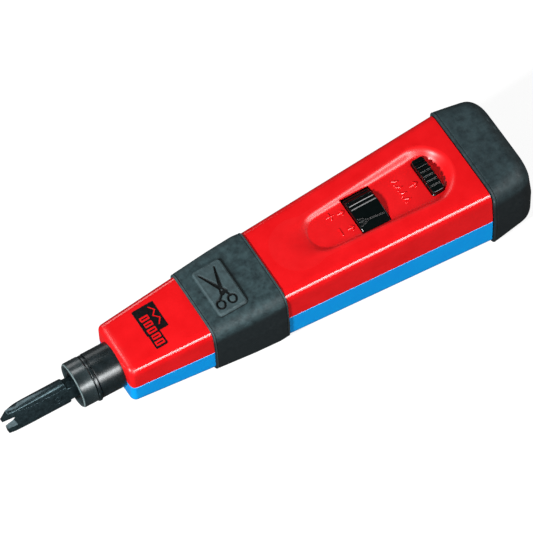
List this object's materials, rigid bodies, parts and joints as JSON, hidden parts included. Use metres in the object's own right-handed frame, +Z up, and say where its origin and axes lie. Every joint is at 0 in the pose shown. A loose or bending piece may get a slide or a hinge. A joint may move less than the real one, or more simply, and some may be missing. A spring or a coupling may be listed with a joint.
{
  "type": "impact punch down tool",
  "caption": "Hand-held impact punch down tool: tapered two-part housing with a rubber waist band and tail cap, forked blade in a round nose, force selector and blade drawer.",
  "frame": {"origin": "middle of the footprint, on the plane the tail cap rests on", "axes": "+X along the striking axis from blade to tail, +Y across, +Z up through the selector side"},
  "size_m": [0.192, 0.0416, 0.0324],
  "materials": {
    "red_shell": "glossy moulded ABS",
    "blue_shell": "glossy moulded ABS",
    "band_rubber": "matte moulded rubber",
    "cap_rubber": "matte moulded rubber",
    "badge_print": "printed film",
    "black_nylon": "moulded nylon",
    "control_black": "polished moulded plastic",
    "collar_black": "satin black oxide steel",
    "blade_steel": "black oxide tool steel",
    "barrel_steel": "drawn steel tube",
    "machined_steel": "turned and ground steel",
    "spring_steel": "spring wire",
    "plug_brass": "turned brass",
    "screw_zinc": "zinc plated"
  },
  "bodies": {
    "handle": {"upper_shell": "red_shell", "lower_shell": "blue_shell", "shell_screws": "screw_zinc", "grip_band": "band_rubber", "badge_label": "badge_print", "nose_collar": "collar_black", "collar_retaining_ring": "collar_black", "barrel_tube": "barrel_steel", "barrel_plug": "plug_brass", "stop_pin": "machined_steel", "trip_ramp": "machined_steel", "selector_detent": "spring_steel"},
    "spindle": {"spindle": "machined_steel", "return_spring": "spring_steel"},
    "key_bush": {"blade_key_bush": "machined_steel", "blade_clip": "spring_steel"},
    "blade": {"blade": "blade_steel"},
    "hammer": {"hammer": "machined_steel", "hammer_spring": "spring_steel", "tripper_spring": "spring_steel"},
    "tripper": {"tripper": "machined_steel"},
    "selector": {"selector_wheel": "control_black"},
    "preload": {"preload_seat": "machined_steel", "preload_pin": "machined_steel"},
    "button": {"release_button": "control_black"},
    "drawer": {"end_cap": "cap_rubber", "drawer_tray": "black_nylon", "spare_blade_left": "blade_steel", "spare_blade_right": "blade_steel", "catch_leaf": "spring_steel"}
  },
  "joints": [
    {"name": "spindle_slide", "type": "slide", "parent": "handle", "child": "spindle", "axis": [1, 0, 0], "range_m": [0, 0.008], "stiffness_N_per_m": 400, "springref_m": -0.004},
    {"name": "hammer_slide", "type": "slide", "parent": "handle", "child": "hammer", "axis": [1, 0, 0], "range_m": [0, 0.008], "stiffness_N_per_m": 3000, "springref_m": -0.006, "deforming": ["hammer_spring"]},
    {"name": "tripper_slide", "type": "slide", "parent": "hammer", "child": "tripper", "axis": [0, 0, 1], "range_m": [0, 0.0015], "stiffness_N_per_m": 300, "springref_m": -0.001, "deforming": ["tripper_spring"]},
    {"name": "blade_turn", "type": "hinge", "parent": "spindle", "child": "key_bush", "pos_m": [-0.054, 0, 0.0161], "axis": [1, 0, 0], "range_deg": [0, 90]},
    {"name": "blade_pull", "type": "slide", "parent": "key_bush", "child": "blade", "axis": [-1, 0, 0], "range_m": [0, 0.012], "deforming": ["blade_clip"]},
    {"name": "selector_turn", "type": "hinge", "parent": "handle", "child": "selector", "pos_m": [-0.054, 0, 0.0161], "axis": [-1, 0, 0], "range_deg": [0, 30], "deforming": ["selector_detent"]},
    {"name": "preload_slide", "type": "slide", "parent": "handle", "child": "preload", "axis": [-1, 0, 0], "range_m": [0, 0.003]},
    {"name": "button_press", "type": "slide", "parent": "handle", "child": "button", "axis": [0, 0, -1], "range_m": [0, 0.0015], "stiffness_N_per_m": 800, "springref_m": -0.001, "deforming": ["catch_leaf"]},
    {"name": "drawer_slide", "type": "slide", "parent": "handle", "child": "drawer", "axis": [1, 0, 0], "range_m": [0, 0.04]}
  ],
  "couplings": [
    {"joint": "hammer_slide", "follows": "spindle_slide", "ratio": 1},
    {"joint": "preload_slide", "follows": "selector_turn", "m_per_rad": 0.0057296}
  ]
}
